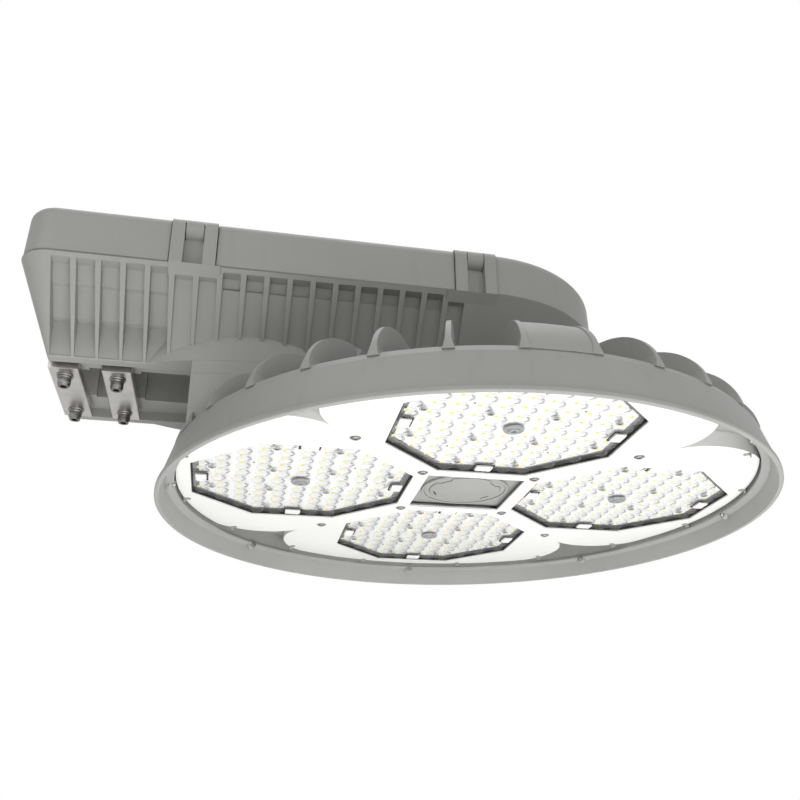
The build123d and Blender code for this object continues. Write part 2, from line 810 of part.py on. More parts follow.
def neck_hood():
    # The skirt swept up to meet the end of the neck
    start = blade_foot_radius - blade_run - 1
    outline = Location((-hood_step, 0, -hood_step)) * blade_outline(start, blade_foot_height - 2)
    sweep = revolve(outline, Axis.Z, revolution_arc=2 * neck_hood_angle)
    sweep = turned(180 - neck_hood_angle) * sweep
    return sweep & block(-rim_radius, 6 - neck_end, -rim_radius, rim_radius, deck_underside + 1, joint_level)


# Optics
def tray_outline():
    # Four lobes with a notch between each pair
    rest = sqrt(tray_radius ** 2 - lobe_end_half_width ** 2)
    edges = []
    for k in range(4):
        edges += [turned(90 * k) * edge for edge in (
            ThreePointArc((rest, -lobe_end_half_width), (tray_radius, 0), (rest, lobe_end_half_width)),
            TangentArc((lobe_shoulder, lobe_half_width), (rest, lobe_end_half_width), tangent=(1, 0)),
            TangentArc((lobe_shoulder, lobe_half_width), (notch_corner, notch_corner), tangent=(-1, 0)),
            TangentArc((lobe_half_width, lobe_shoulder), (notch_corner, notch_corner), tangent=(0, -1)),
            TangentArc((lobe_half_width, lobe_shoulder), (lobe_end_half_width, rest), tangent=(0, 1)))]
    return make_face(Wire(edges))


def reflector_tray():
    # A pressed sheet with a turned-up wall that meets the deck
    outline = tray_outline()
    wall = extrude(outline, deck_underside - tray_height)
    hollow = extrude(offset(outline, -tray_thickness), deck_underside - tray_height)
    tray = Location((0, 0, tray_height)) * (wall - Location((0, 0, tray_thickness)) * hollow)
    for k in range(4):
        window = extrude(octagon(module_across + 2 * tray_window_gap), deck_underside)
        tray -= turned(90 * k) * Location((module_distance, 0, 0)) * window
    half = centre_window / 2
    tray -= block(-half, half, -half, half, 0, deck_underside)
    for x, y in tray_screw_places():
        tray -= rod(tray_screw_diameter / 2 + 0.3, deck_underside, Location((x, y, 0)))
    return head_place * tray


def tray_screw_places():
    return [(sx * pitch / 2, sy * pitch / 2) for pitch in (inner_screw_pitch, outer_screw_pitch)
            for sx in (-1, 1) for sy in (-1, 1)]


def tray_screws():
    screws = []
    for x, y in tray_screw_places():
        place = head_place * Location((x, y, tray_height))
        head = rod(tray_screw_head / 2, tray_screw_head_height, place * Location((0, 0, -tray_screw_head_height)))
        screws.append(head + rod(tray_screw_diameter / 2, tray_screw_length, place))
    return screws


def at_module(k, height, shape):
    return head_place * turned(90 * k) * Location((module_distance, 0, height)) * shape


def lens_plate():
    height = module_pad_height - lens_height
    inside = extrude(octagon(module_across - 2 * lens_rim_width), height)
    return extrude(octagon(module_across), height) - Location((0, 0, lens_thickness)) * inside


def lens_seal():
    height = module_pad_height - tray_height - tray_thickness - seal_top_gap
    return extrude(octagon(module_across + 2 * seal_width), height) - extrude(octagon(module_across), height)


def centre_cap():
    plate = rod(cap_radius, cap_thickness, Location((0, 0, centre_pad_height - cap_thickness)))
    place = Location((0, 0, centre_pad_height))
    plug = rod(cap_plug_radius, cap_skirt, place) - rod(cap_plug_radius - cap_plug_wall, cap_skirt, place)
    return head_place * (plate + plug)


# Electrical parts
def gear_plate():
    half = gear_plate_width / 2
    return block(gear_plate_start, gear_plate_start + gear_plate_length, -half, half,
                 gear_plate_level - gear_plate_thickness, gear_plate_level)


def led_driver(side):
    x0 = gear_plate_start + (gear_plate_length - driver_length) / 2
    x1 = x0 + driver_length
    y = side * (driver_width + driver_space) / 2
    half = driver_width / 2
    z = gear_plate_level
    case = block(x0, x1, y - half, y + half, z + driver_foot, z + driver_height)
    case = fillet(case.edges().filter_by(Axis.X), 3)
    return case + block(x0 - 3, x1 + 3, y - half + 6, y + half - 6, z, z + driver_foot)


def terminal_block():
    x0 = terminal_start
    x1 = x0 + terminal_length
    half = terminal_width / 2
    top = flange_height + terminal_height
    body = block(x0, x1, -half, half, flange_height, top)
    pitch = terminal_width / terminal_poles
    for k in range(terminal_poles):
        y = pitch * (k + 0.5) - half
        body -= rod(terminal_well / 2, terminal_well, Location(((x0 + x1) / 2, y, top - terminal_well + 1)))
        low = flange_height + terminal_entry
        for a, b in ((x0, x0 + terminal_well), (x1 - terminal_well, x1)):
            body -= block(a, b, y - terminal_entry / 2, y + terminal_entry / 2, low, low + terminal_entry)
    return body


def surge_protector():
    half = surge_width / 2
    body = block(surge_start, surge_start + surge_length, -half, half, flange_height, flange_height + surge_height)
    return fillet(body.edges().filter_by(Axis.Z), 4)


def supply_grommet():
    bore = supply_hole_diameter / 2
    x0 = recess_end
    x1 = recess_end + recess_wall
    ring = x_rod(bore, x0, x1, 0, 0) + x_rod(bore + 3, x1, x1 + 3, 0, 0)
    return ring - x_rod(bore - 4, x0 - 1, x1 + 4, 0, 0)


def joint_screws():
    return [cap_screw(Location((x, y, floor_level), (180, 0, 0)), joint_screw_length,
                      joint_screw_thread, joint_screw_head) for x, y in joint_screw_places()]


os.makedirs("parts", exist_ok=True)
save_housing()
save_head()
save("head_rim", head_place * rim())
save("cooling_blades", *cooling_blades())
save("lid", lid())
save("lid_gasket", gasket_ring(flange_height + gasket_proud))
for number, x in enumerate(hinge_positions, start=1):
    save(f"hinge_pin_{number}", hinge_pin(x))
    save(f"captive_screw_{number}", captive_screw(x))
for number, x in enumerate(bar_places, start=1):
    save(f"clamp_bar_{number}", clamp_bar(x))
    save(f"clamp_bolts_{number}", *clamp_bolts(x))
    save(f"clamp_washers_{number}", *clamp_washers(x))
save("reflector_tray", reflector_tray())
save("tray_screws", *tray_screws())
board_height = module_pad_height - thermal_pad_thickness - board_thickness
for k in range(4):
    save(f"lens_{k + 1}", at_module(k, lens_height, lens_plate()))
    save(f"lens_seal_{k + 1}", at_module(k, tray_height + tray_thickness + seal_top_gap, lens_seal()))
    save(f"led_board_{k + 1}", at_module(k, board_height, extrude(octagon(board_across), board_thickness)))
    pad = extrude(octagon(board_across), thermal_pad_thickness)
    save(f"thermal_pad_{k + 1}", at_module(k, module_pad_height - thermal_pad_thickness, pad))
save("centre_cap", centre_cap())
save("gear_plate", gear_plate())
save("led_driver_1", led_driver(-1))
save("led_driver_2", led_driver(1))
save("terminal_block", terminal_block())
save("surge_protector", surge_protector())
save("supply_grommet", supply_grommet())
save("joint_screws", *joint_screws())
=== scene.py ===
import bmesh
import bpy
import json
import math
from mathutils import Matrix, Vector


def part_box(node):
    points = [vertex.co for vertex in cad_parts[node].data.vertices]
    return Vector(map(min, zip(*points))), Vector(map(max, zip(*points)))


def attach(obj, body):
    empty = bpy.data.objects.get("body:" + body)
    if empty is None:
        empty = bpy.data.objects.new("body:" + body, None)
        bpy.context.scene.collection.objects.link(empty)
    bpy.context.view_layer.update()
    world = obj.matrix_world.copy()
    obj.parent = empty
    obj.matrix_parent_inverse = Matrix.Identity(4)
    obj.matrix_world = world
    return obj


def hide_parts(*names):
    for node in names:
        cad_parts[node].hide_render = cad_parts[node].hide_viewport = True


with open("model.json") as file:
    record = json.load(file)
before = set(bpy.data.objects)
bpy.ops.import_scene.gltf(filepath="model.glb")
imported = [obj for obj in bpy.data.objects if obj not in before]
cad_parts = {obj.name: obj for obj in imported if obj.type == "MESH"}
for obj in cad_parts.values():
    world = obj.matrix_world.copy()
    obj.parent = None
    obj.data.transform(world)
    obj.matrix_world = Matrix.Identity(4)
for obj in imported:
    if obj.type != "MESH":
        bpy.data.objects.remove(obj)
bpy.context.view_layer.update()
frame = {"nodes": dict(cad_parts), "record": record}
nodes = frame["nodes"]
mm = 0.001
print("frame loaded")


# A colour as it looks on a screen, from 0 to 255, turned into the light it stands for
def shade(red, green, blue):
    light = [((c / 255 + 0.055) / 1.055) ** 2.4 for c in (red, green, blue)]
    return (*light, 1.0)


def darker(tone, share):
    return tuple(share * c for c in tone)


# Wraps a socket, so that a mask is written as a sum or a product
class Signal:
    def __init__(self, recipe, socket):
        self.recipe = recipe
        self.socket = socket

    def reckon(self, operation, *values):
        return self.recipe.reckon(operation, *values)

    def __add__(self, other):
        return self.reckon("ADD", self, other)

    def __sub__(self, other):
        return self.reckon("SUBTRACT", self, other)

    def __rsub__(self, other):
        return self.reckon("SUBTRACT", other, self)

    def __mul__(self, other):
        return self.reckon("MULTIPLY", self, other)

    def __pow__(self, other):
        return self.reckon("POWER", self, other)

    def __lt__(self, other):
        return self.reckon("LESS_THAN", self, other)

    def clipped(self):
        return self.reckon("MINIMUM", self.reckon("MAXIMUM", self, 0.0), 1.0)

    def part(self, name):
        return Signal(self.recipe, self.socket.node.outputs[name])

    __radd__ = __add__
    __rmul__ = __mul__


# The nodes of one material or of the world
class Recipe:
    def __init__(self, name, home=None, **fixed):
        self.material = home or bpy.data.materials.new(name)
        self.material.use_nodes = True
        self.tree = self.material.node_tree
        self.shader = self.tree.nodes.get("Principled BSDF")
        if self.shader:
            self.place = self.node("ShaderNodeTexCoord").part("Object")
        for key, value in fixed.items():
            self.shader.inputs[socketNames[key]].default_value = value

    # Any node: its settings are set first, then its sockets are given values or links
    def node(self, kind, settings=None, sockets=None):
        made = self.tree.nodes.new(kind)
        for key, value in (settings or {}).items():
            setattr(made, key, value)
        for key, value in (sockets or {}).items():
            self.feed(made.inputs[key], value)
        return Signal(self, next((o for o in made.outputs if o.enabled), None))

    def feed(self, socket, value):
        if isinstance(value, Signal):
            self.tree.links.new(value.socket, socket)
        else:
            socket.default_value = value

    def reckon(self, operation, *values):
        return self.node("ShaderNodeMath", {"operation": operation}, dict(enumerate(values)))

    def blend(self, mask, first, second):
        return self.node("ShaderNodeMix", {"data_type": "RGBA"}, {0: mask, 6: first, 7: second})

    # Noise with grains about as wide as size, in metres, stretched along one axis if asked
    def grain(self, size, detail=3.0, stretch=(1, 1, 1)):
        scale = tuple(1 / (size * s) for s in stretch)
        spread = self.node("ShaderNodeVectorMath", {"operation": "MULTIPLY"},
                           {0: self.place, 1: scale})
        return self.node("ShaderNodeTexNoise", {}, {"Vector": spread, "Scale": 1.0, "Detail": detail})

    def cells(self, size):
        return self.node("ShaderNodeTexVoronoi", {}, {"Vector": self.place, "Scale": 1 / size})

    # A steeper version of a mask, from 0 below one value to 1 above another
    def ramp(self, mask, low, high):
        return self.node("ShaderNodeMapRange", {}, {"Value": mask, "From Min": low, "From Max": high})

    def bump(self, height, depth, strength, under=None):
        sockets = {"Height": height, "Distance": depth, "Strength": strength}
        if under:
            sockets["Normal"] = under
        return self.node("ShaderNodeBump", {}, sockets)

    # Rounds every edge in the shading, as paint or tumbling does
    def soften(self, radius):
        return self.node("ShaderNodeBevel", {"samples": 4}, {"Radius": radius})

    def finish(self, **varying):
        for key, value in varying.items():
            self.feed(self.shader.inputs[socketNames[key]], value)
        return self.material


socketNames = {
    "colour": "Base Color",
    "roughness": "Roughness",
    "metallic": "Metallic",
    "alpha": "Alpha",
    "normal": "Normal",
    "coat": "Coat Weight",
    "coatRoughness": "Coat Roughness",
    "glow": "Emission Color",
    "glowStrength": "Emission Strength",
    "ior": "IOR",
    "specular": "Specular IOR Level",
}

paintLook = {
    "pale": (167, 167, 164),
    "deep": (157, 157, 154),
    "worn": (186, 186, 183),
    "dirt": (112, 110, 104),
    "peel": 0.7 * mm,          # width of the orange peel
    "peelDepth": 0.05 * mm,
    "castGrain": 9 * mm,
    "castDepth": 0.2 * mm,
    "edge": 0.7 * mm,          # how far the paint rounds an edge
}


def powderCoat():
    r = Recipe("powderCoat", specular=0.42)
    cloud = r.grain(80 * mm, 4.0)
    peel = r.grain(paintLook["peel"], 2.0)
    cast = r.grain(paintLook["castGrain"], 3.0)
    speck = r.cells(2.6 * mm)
    streak = r.grain(16 * mm, 4.0, (1, 1, 5))
    colour = r.blend(cloud, shade(*paintLook["pale"]), shade(*paintLook["deep"]))
    colour = r.blend(r.ramp(streak, 0.58, 0.86) * 0.16, colour, shade(*paintLook["dirt"]))
    colour = r.blend((speck < 0.13) * 0.2, colour, shade(*paintLook["worn"]))
    rough = 0.42 + peel * 0.1 + cloud * 0.08
    wave = r.bump(cast, paintLook["castDepth"], 0.3, r.soften(paintLook["edge"]))
    skin = r.bump(peel, paintLook["peelDepth"], 0.5, wave)
    return r.finish(colour=colour, roughness=rough, normal=skin)


def brushedSteel(name, tone, along, roughness):
    r = Recipe(name, metallic=1.0)
    stretch = tuple(40.0 if axis == along else 1.0 for axis in "XYZ")
    lines = r.grain(0.25 * mm, 2.0, stretch)
    stain = r.grain(14 * mm, 3.0)
    colour = r.blend(stain, shade(*tone), shade(*darker(tone, 0.86)))
    rough = roughness + lines * 0.12 + stain * 0.08
    return r.finish(colour=colour, roughness=rough,
                    normal=r.bump(lines, 0.03 * mm, 0.4, r.soften(0.5 * mm)))


def turnedSteel(name, tone, roughness):
    r = Recipe(name, metallic=1.0)
    fine = r.grain(0.3 * mm, 2.0)
    stain = r.grain(6 * mm, 3.0)
    colour = r.blend(stain, shade(*tone), shade(*darker(tone, 0.74)))
    return r.finish(colour=colour, roughness=roughness + stain * 0.14 + fine * 0.06,
                    normal=r.bump(fine, 0.02 * mm, 0.3, r.soften(0.25 * mm)))


def sealRubber():
    r = Recipe("sealRubber", specular=0.3)
    grain = r.grain(0.6 * mm, 3.0)
    dust = r.grain(12 * mm, 3.0)
    colour = r.blend(dust, shade(30, 30, 31), shade(52, 51, 50))
    return r.finish(colour=colour, roughness=0.62 + dust * 0.2, normal=r.bump(grain, 0.04 * mm, 0.6))


def trayWhite():
    r = Recipe("trayWhite", coat=0.2, coatRoughness=0.15)
    cloud = r.grain(60 * mm, 3.0)
    peel = r.grain(1.1 * mm, 2.0)
    dust = r.cells(3.0 * mm)
    colour = r.blend(cloud, shade(250, 250, 248), shade(244, 244, 242))
    colour = r.blend((dust < 0.06) * 0.2, colour, shade(190, 188, 180))
    return r.finish(colour=colour, roughness=0.3 + peel * 0.1,
                    normal=r.bump(peel, 0.02 * mm, 0.35, r.soften(0.8 * mm)))


def boardWhite():
    r = Recipe("boardWhite")
    cloud = r.grain(25 * mm, 3.0)
    weave = r.grain(0.8 * mm, 2.0)
    colour = r.blend(cloud, shade(250, 250, 249), shade(242, 243, 241))
    return r.finish(colour=colour, roughness=0.34 + weave * 0.1, normal=r.bump(weave, 0.02 * mm, 0.3))


# Clear plastic whose colour turns from pale to deep towards its rims, as the camera sees it: painted
# reflection, standing in for the surroundings that a real lens bends and mirrors
def lensClear(name, thin, edge, pale, deep):
    r = Recipe(name, ior=1.49)
    facing = r.node("ShaderNodeLayerWeight", {}, {"Blend": 0.4}).part("Facing")
    mist = r.grain(8 * mm, 3.0)
    scratch = r.grain(1.5 * mm, 2.0, (6, 1, 1))
    clear = thin + (facing ** 3.4) * edge + r.ramp(scratch, 0.66, 0.8) * 0.05
    return r.finish(colour=r.blend(facing, shade(*pale), shade(*deep)),
                    roughness=0.05 + mist * 0.05, alpha=clear.clipped())


def plainPlastic(name, tone, grainSize=0.5 * mm, roughness=0.42):
    r = Recipe(name)
    cloud = r.grain(18 * mm, 3.0)
    skin = r.grain(grainSize, 2.0)
    colour = r.blend(cloud, shade(*tone), shade(*darker(tone, 0.9)))
    return r.finish(colour=colour, roughness=roughness + skin * 0.14,
                    normal=r.bump(skin, 0.03 * mm, 0.5, r.soften(0.4 * mm)))


def zincPlate():
    r = Recipe("zincPlate", metallic=0.9)
    flakes = r.cells(7 * mm)
    fine = r.grain(0.4 * mm, 2.0)
    colour = r.blend(flakes, shade(190, 192, 194), shade(154, 157, 160))
    return r.finish(colour=colour, roughness=0.34 + flakes * 0.18, normal=r.bump(fine, 0.02 * mm, 0.4))


# Yellow phosphor with a faint painted glow: it shines a little under no light, though the LEDs are off
def phosphor():
    r = Recipe("phosphor", glowStrength=0.1)
    grain = r.grain(0.5 * mm, 2.0)
    colour = r.blend(grain, shade(250, 236, 60), shade(236, 216, 30))
    return r.finish(colour=colour, roughness=0.45 + grain * 0.1, glow=colour)


looks = {
    "casting_paint": powderCoat(),
    "bar_steel": brushedSteel("barSteel", (224, 221, 217), "Y", 0.24),
    "stainless": turnedSteel("turnedSteel", (182, 180, 178), 0.2),
    "seal_rubber": sealRubber(),
    "tray_white": trayWhite(),
    "lens_clear": lensClear("lensClear", 0.03, 0.16, (252, 252, 252), (214, 217, 217)),
    "board_white": boardWhite(),
    "pad_grey": plainPlastic("padGrey", (150, 152, 154)),
    "zinc_plate": zincPlate(),
    "driver_case": plainPlastic("driverCase", (206, 208, 208)),
    "terminal_plastic": plainPlastic("terminalPlastic", (222, 219, 208)),
    "surge_plastic": plainPlastic("surgePlastic", (156, 58, 48)),
}
# The domes turn strongly grey towards their rims: painted reflection
domeLook = lensClear("domeClear", 0.02, 0.6, (252, 252, 252), (120, 124, 126))
# Grey clear look of the shade crescents, which is painted shade, and of the lens screws' seats
crescentShadeAndSeatLook = lensClear("crescentShadeAndSeatClear", 0.28, 0.3, (150, 153, 154), (110, 113, 114))
phosphorLook = phosphor()
darkSteelLook = turnedSteel("darkSteel", (150, 148, 146), 0.22)
# Near black for caps, pads and bands put where only shade falls: painted shade
paintedShadeLook = plainPlastic("paintedShade", (34, 34, 35), roughness=0.6)
greyMouldLook = plainPlastic("greyMoulding", (172, 173, 175))
print("finishes mixed")


# Every CAD node gets the finish of the slot that the record gives it
for row in frame["record"]["subparts"]:
    dressed = nodes[row["node"]].data.materials
    dressed.clear()
    dressed.append(looks[row["material_slot"]])
print("CAD nodes dressed:", len(nodes))


# Makes an object of a bmesh, gives it its finish and lets it ride on a body
def seat(name, bm, slotName, body="fitting", look=None, sharpAt=35):
    bmesh.ops.recalc_face_normals(bm, faces=bm.faces)
    mesh = bpy.data.meshes.new(name)
    bm.to_mesh(mesh)
    bm.free()
    mesh.shade_smooth()
    mesh.set_sharp_from_angle(angle=math.radians(sharpAt))
    mesh.materials.append(look or looks[slotName])
    piece = bpy.data.objects.new(name, mesh)
    bpy.context.scene.collection.objects.link(piece)
    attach(piece, body)
    return piece


def at(x, y, z):
    return Matrix.Translation((x, y, z))


def spun(angle):
    return Matrix.Rotation(angle, 4, "Z")


# Joins rings of corners into a skin, with a face on the first and the last
def skin(bm, rings):
    for low, high in zip(rings, rings[1:]):
        count = max(len(low), len(high))
        for i in range(count):
            after = (i + 1) % count
            corners = [low[i % len(low)], low[after % len(low)],
                       high[after % len(high)], high[i % len(high)]]
            corners = list(dict.fromkeys(corners))
            if len(corners) > 2:
                bm.faces.new(corners)
    for ring in (rings[0], rings[-1]):
        if len(ring) > 2:
            bm.faces.new(ring)


def cornerAt(bm, place, radius, angle, height):
    return bm.verts.new(place @ Vector((radius * math.cos(angle), radius * math.sin(angle), height)))


# A ring of corners at one height; swell changes its radius on the way round
def ringOf(bm, radius, height, steps, place, swell=None):
    ring = []
    for step in range(steps if radius else 1):
        angle = 2 * math.pi * step / steps
        reach = radius * (swell(angle, height) if swell else 1)
        ring.append(cornerAt(bm, place, reach, angle, height))
    return ring


# Turns a profile of (radius, height) points about the local Z axis
def turn(bm, profile, steps, place, swell=None):
    skin(bm, [ringOf(bm, radius, height, steps, place, swell) for radius, height in profile])


# Carries a closed section along its rows of corners, back to the first row
def closeRound(bm, rows):
    count = len(rows[0])
    for row, after in zip(rows, rows[1:] + rows[:1]):
        for i in range(count):
            j = (i + 1) % count
            bm.faces.new([row[i], row[j], after[j], after[i]])


# A closed section of (radius, height) points carried round a regular outline with so many corners
def hoop(bm, section, corners, place, first=0.0):
    rows = []
    for corner in range(corners):
        angle = first + 2 * math.pi * corner / corners
        rows.append([cornerAt(bm, place, radius, angle, height) for radius, height in section])
    closeRound(bm, rows)


# Outlines of (x, y) points at rising heights, joined into one solid
def build(bm, levels, place):
    skin(bm, [[bm.verts.new(place @ Vector((x, y, z))) for x, y in outline] for outline, z in levels])


# A rectangle's outline with cut corners
def plateOutline(long, wide, cut):
    a = long / 2
    b = wide / 2
    return [(a - cut, -b), (a, cut - b), (a, b - cut), (a - cut, b),
            (cut - a, b), (-a, b - cut), (-a, cut - b), (cut - a, -b)]


# A block with a soft upper edge, whose top corners are cut a little less
def pad(bm, long, wide, high, cut, place):
    topCut = 0.6 * cut
    foot = plateOutline(long, wide, cut)
    top = plateOutline(long - 2 * cut, wide - 2 * cut, topCut)
    build(bm, [(foot, 0), (foot, high - cut), (top, high)], place)


# Points that are written in millimetres
def inMm(*points):
    return [tuple(value * mm for value in point) for point in points]


flipped = Matrix.Rotation(math.pi, 4, "X")
headLow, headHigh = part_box("head_rim")
headAxis = (headLow + headHigh) / 2
rimPlane = headLow.z
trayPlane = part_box("reflector_tray")[0].z


# A place on an underside, facing down
def down(spot, x=0, y=0):
    return at(spot.x + x, spot.y + y, spot.z) @ flipped


# Shares of a screw head's radius and height
headShape = [(0.97, 0), (1, 0.12), (1, 0.62), (0.86, 1)]
weldReach = 0.002 * mm


# The hexagon's reach in each direction, as a share of its corner's
def hexagon(angle, height):
    return math.cos(math.pi / 6) / math.cos(angle % (math.pi / 3) - math.pi / 6)


# A round screw head with a hexagon socket, standing on the place's origin. It also welds corners
# that fall on one another in what the mesh already holds, such as the turns of a thread
def headOf(bm, facts, place, steps=24, swell=None):
    radius = facts["head"]
    high = facts["high"]
    rings = [ringOf(bm, radius * out, high * up, steps, place, swell) for out, up in headShape]
    for level in (high, high - facts["deep"]):
        rings.append(ringOf(bm, facts["socket"], level, steps, place, hexagon))
    skin(bm, rings)
    bmesh.ops.remove_doubles(bm, verts=bm.verts, dist=weldReach)


# The places of one module's domes, screws and pins
moduleFacts = {
    "pitch": 20 * mm,          # from dome to dome, both ways
    "middleShift": 3.5 * mm,   # how far the middle row and column stand outwards
    "rows": {0: (1, 4), 1: (0, 5), 2: (0, 5), 3: (0, 4), 4: (0, 3), 5: (1, 2)},   # first and last dome
    "screws": inMm((30, 30), (90, 30), (30, 90)),   # mirrored to all four quarters
    "pins": inMm((50, 50)),
}


def moduleCentre(k):
    low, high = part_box(f"lens_{k}")
    return Vector(((low.x + high.x) / 2, (low.y + high.y) / 2, low.z))


# The snap tabs take the place of the four end domes, and the boss that of the middle one
def domePlaces():
    pitch = moduleFacts["pitch"]
    shift = moduleFacts["middleShift"]
    rows = moduleFacts["rows"]
    for j in range(-max(rows), max(rows) + 1):
        first, last = rows[abs(j)]
        for i in range(-last, last + 1):
            if abs(i) >= first:
                x = i * pitch + (math.copysign(shift, i) if j == 0 else 0)
                y = j * pitch + (math.copysign(shift, j) if i == 0 else 0)
                yield x, y


def quarters(places):
    return [(sx * x, sy * y) for x, y in places for sx in (-1, 1) for sy in (-1, 1)]


domeFacts = {
    "long": 14.5 * mm,
    "wide": 12 * mm,
    "high": 4.0 * mm,
    "waist": 0.13,             # how far the two lobes are drawn in between them
    "shape": [(1, 0), (0.97, 0.34), (0.86, 0.64), (0.66, 0.86), (0.38, 0.97), (0.14, 0.98), (0, 0.95)],
}

# Domes and the shade crescents are drawn round and made narrower by this
squeeze = Matrix.Diagonal((1, domeFacts["wide"] / domeFacts["long"], 1, 1))


def lensDomes(k):
    bm = bmesh.new()
    centre = moduleCentre(k)
    high = domeFacts["high"]
    half = domeFacts["long"] / 2

    # Two lobes, so that the dome spreads its light along the road
    def lobes(angle, height):
        return 1 - domeFacts["waist"] * (0.5 - 0.5 * math.cos(2 * angle)) * (1 - height / high)

    profile = [(half * out, high * up) for out, up in domeFacts["shape"]]
    for x, y in domePlaces():
        turn(bm, profile, 20, down(centre, x, y) @ squeeze, lobes)
    seat(f"lensDomes_{k}", bm, "lens_clear", look=domeLook)


crescentShadeFacts = {
    "halfSpan": 62,            # degrees, either side of the dome's long axis
    "steps": 10,
    "thick": 1.6 * mm,
    "outside": 0.5 * mm,       # how far it stands outside the dome
    "high": (0.7 * mm, 1.1 * mm),   # at its outer and its inner side
    "endShare": 0.6,           # how far the taper is cut off at each end, in steps
}


# A grey crescent at one end of each dome: painted shade, standing in for the darker surroundings that the
# dome's lens bends into view
def lensShadeCrescents(k):
    bm = bmesh.new()
    centre = moduleCentre(k)
    half = domeFacts["long"] / 2
    outer = half + crescentShadeFacts["outside"]
    outerHigh, innerHigh = crescentShadeFacts["high"]
    steps = crescentShadeFacts["steps"]
    span = crescentShadeFacts["halfSpan"]
    cutOff = crescentShadeFacts["endShare"]
    for x, y in domePlaces():
        place = down(centre, x, y) @ squeeze
        rings = []
        for step in range(steps + 1):
            angle = math.radians(-span + 2 * span * step / steps)
            taper = math.sin(math.pi * (step + cutOff) / (steps + 2 * cutOff))
            inner = half - crescentShadeFacts["thick"] * taper
            section = [(outer, 0), (outer, outerHigh), (inner, innerHigh), (inner, 0)]
            rings.append([cornerAt(bm, place, radius, angle, height) for radius, height in section])
        skin(bm, rings)
    seat(f"lensShadeCrescents_{k}", bm, "lens_clear", look=crescentShadeAndSeatLook)


dieFacts = {
    "offset": -2.4 * mm,       # the die sits off the dome's middle
    "package": 5.4 * mm,
    "packageHigh": 0.35 * mm,
    "packageEdge": 0.12 * mm,
    "shape": inMm((1.9, 0.35), (1.71, 0.7), (0.95, 0.95), (0, 1.02)),
}


def dies(k):
    centre = moduleCentre(k)
    centre.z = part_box(f"led_board_{k}")[0].z
    side = dieFacts["package"]
    glow = bmesh.new()
    bases = bmesh.new()
    for x, y in domePlaces():
        place = down(centre, x + dieFacts["offset"], y)
        pad(bases, side, side, dieFacts["packageHigh"], dieFacts["packageEdge"], place)
        turn(glow, dieFacts["shape"], 14, place)
    seat(f"ledPackages_{k}", bases, "board_white")
    seat(f"lightDies_{k}", glow, "board_white", look=phosphorLook)


bossFacts = {
    "shape": inMm((10, 0), (9.4, 1.5), (8.2, 1.9), (7.6, 1.0), (5.2, 1.0), (4.6, 2.6), (2.6, 3.0),
                  (2.2, 1.2), (0, 1.2)),
    "breather": inMm((2.1, 1.25), (1.9, 1.5), (0, 1.55)),
    "ribs": 8,
    "ribReach": 6.6 * mm,
    "rib": (4.6 * mm, 0.9 * mm, 1.9 * mm, 0.2 * mm),   # length, width, height, edge
}


# A ribbed vent boss; its breather hole is a dark cap of painted shade
def boss(k):
    place = down(moduleCentre(k))
    bm = bmesh.new()
    turn(bm, bossFacts["shape"], 32, place)
    for rib in range(bossFacts["ribs"]):
        turned = place @ spun(2 * math.pi * rib / bossFacts["ribs"])
        pad(bm, *bossFacts["rib"], turned @ at(bossFacts["ribReach"], 0, 0))
    seat(f"lensBoss_{k}", bm, "pad_grey", look=greyMouldLook)
    dark = bmesh.new()
    turn(dark, bossFacts["breather"], 20, place)
    seat(f"bossHoleShade_{k}", dark, "seal_rubber", look=paintedShadeLook)


lensScrewFacts = {
    "head": 2.4 * mm,
    "high": 0.9 * mm,
    "socket": 1.3 * mm,
    "deep": 0.7 * mm,
    "seat": inMm((4.0, 0), (3.8, 0.6), (3.1, 0.6), (2.8, 0)),
    "pin": inMm((1.1, 0), (1.0, 0.7), (0, 0.8)),
}


# Screws that hold the lens plate down, each in a small seat, and its locating pins
def lensScrews(k):
    centre = moduleCentre(k)
    bm = bmesh.new()
    seats = bmesh.new()
    for x, y in quarters(moduleFacts["screws"]):
        hoop(seats, lensScrewFacts["seat"], 24, down(centre, x, y))
        headOf(bm, lensScrewFacts, down(centre, x, y))
    for x, y in quarters(moduleFacts["pins"]):
        turn(bm, lensScrewFacts["pin"], 16, down(centre, x, y))
    seat(f"screwSeats_{k}", seats, "lens_clear", look=crescentShadeAndSeatLook)
    seat(f"lensScrews_{k}", bm, "stainless")


# Blocks by their width away from the module's centre, their length along the flat, height and soft edge;
# places by how far they lie away from the tab's middle, in the same two directions
tabFacts = {
    "reach": 101 * mm,         # from the module's centre to the tab's middle
    "tab": (11 * mm, 17 * mm, 2.6 * mm, 0.7 * mm),
    "rib": (7.92 * mm, 1.6 * mm, 3.3 * mm, 0.3 * mm),
    "ribs": [-5 * mm, 0, 5 * mm],
    "endSlot": (10.45 * mm, 1.7 * mm, 0.9 * mm, 0.3 * mm),
    "endSlotPlace": (-1.5 * mm, 9.6 * mm),
    "innerSlot": (1.5 * mm, 20.6 * mm, 0.7 * mm, 0.3 * mm),
    "innerSlotPlace": -6.7 * mm,
}


